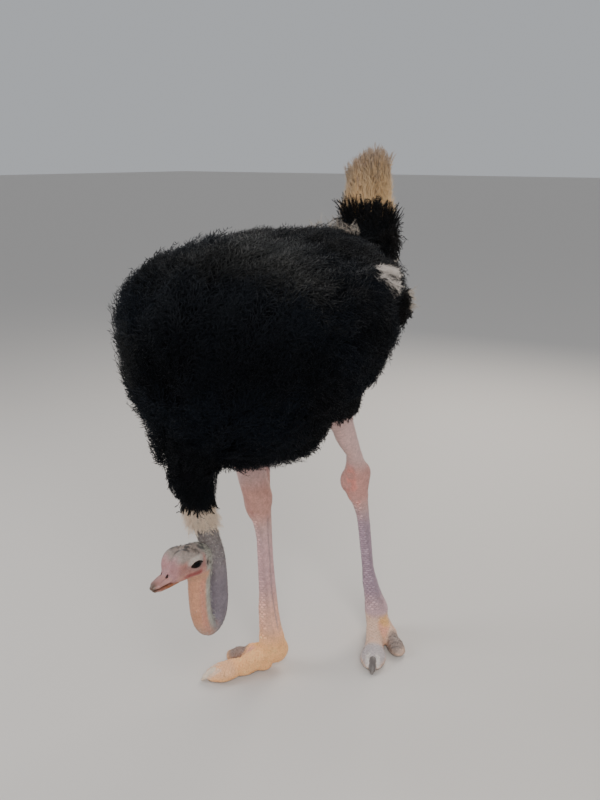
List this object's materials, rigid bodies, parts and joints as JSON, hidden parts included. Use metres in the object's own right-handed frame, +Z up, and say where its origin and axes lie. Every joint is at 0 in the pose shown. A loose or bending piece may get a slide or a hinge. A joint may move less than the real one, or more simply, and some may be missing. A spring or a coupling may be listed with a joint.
{
  "type": "ostrich",
  "caption": "Male ostrich standing in mid-stride with its neck looped down in front of the breast, black plumage, dusty white tail and bare pink legs, as a still life-size figure.",
  "frame": {"origin": "on the floor, under the middle of the whole bird's box", "axes": "+Z up, the bird faces -Y and its left side is +X"},
  "size_m": [0.6702, 1.1368, 1.5957],
  "materials": {
    "plumage_black": "loose black plumes with a faint brown and blue sheen",
    "plumage_white": "soft plumes, cream white dulled with dust",
    "skin": "bare skin, pink on the legs and grey on the neck, scaly down the shanks and toes",
    "bill": "dull horn, pinkish brown, greyer at the tip",
    "claw": "dark grey horn, paler at its worn edge",
    "eye": "wet dark brown"
  },
  "bodies": {
    "root": {"trunk": "plumage_black", "tail_coverts": "plumage_black", "tail": "plumage_white", "neck_base": "plumage_black", "neck_collar": "plumage_white", "neck": "skin", "head": "skin", "bill_upper": "bill", "bill_lower": "bill", "eye_left": "eye", "eye_right": "eye", "wing_left": "plumage_black", "wing_right": "plumage_black", "wing_plumes_left": "plumage_white", "wing_plumes_right": "plumage_white", "drumstick_left": "skin", "drumstick_right": "skin", "shank_left": "skin", "shank_right": "skin", "toe_main_left": "skin", "toe_main_right": "skin", "toe_outer_left": "skin", "toe_outer_right": "skin", "claw_left": "claw", "claw_right": "claw"}
  },
  "joints": []
}
